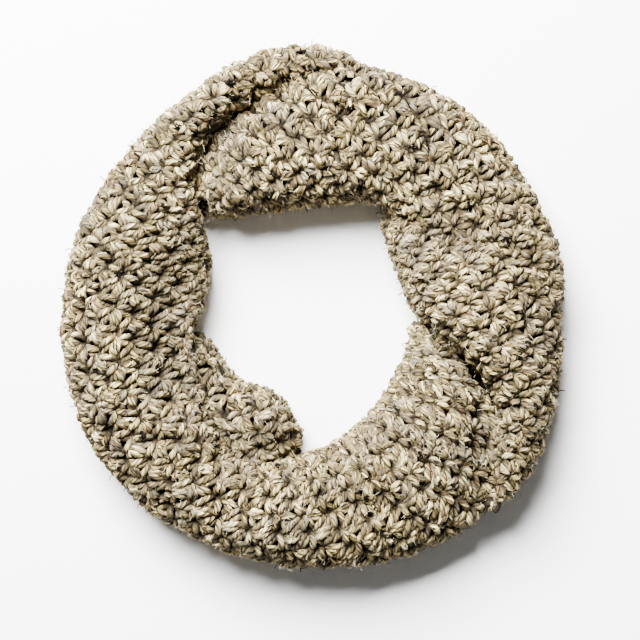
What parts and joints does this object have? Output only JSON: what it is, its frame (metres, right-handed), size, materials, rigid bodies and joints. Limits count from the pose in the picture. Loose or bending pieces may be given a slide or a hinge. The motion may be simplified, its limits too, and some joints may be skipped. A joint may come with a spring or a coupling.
{
  "type": "infinity scarf",
  "caption": "Chunky crocheted infinity scarf: a closed band of tweed yarn, twisted and laid flat in a ring around an open neck hole.",
  "frame": {"origin": "on the surface that the scarf lies on, under the middle of its outline", "axes": "+Z up from the surface; +Y towards the stretch that is twisted under the left one; +X to the right when seen from above with +Y up"},
  "size_m": [0.3122, 0.3242, 0.058],
  "materials": {
    "oatmeal_wool": "matt, fuzzy plied wool with dark and rust flecks"
  },
  "bodies": {
    "root": {"left_stretch": "oatmeal_wool", "top_stretch": "oatmeal_wool", "right_stretch": "oatmeal_wool", "bottom_stretch": "oatmeal_wool", "inner_fold": "oatmeal_wool", "hidden_layers": "oatmeal_wool"}
  },
  "joints": []
}
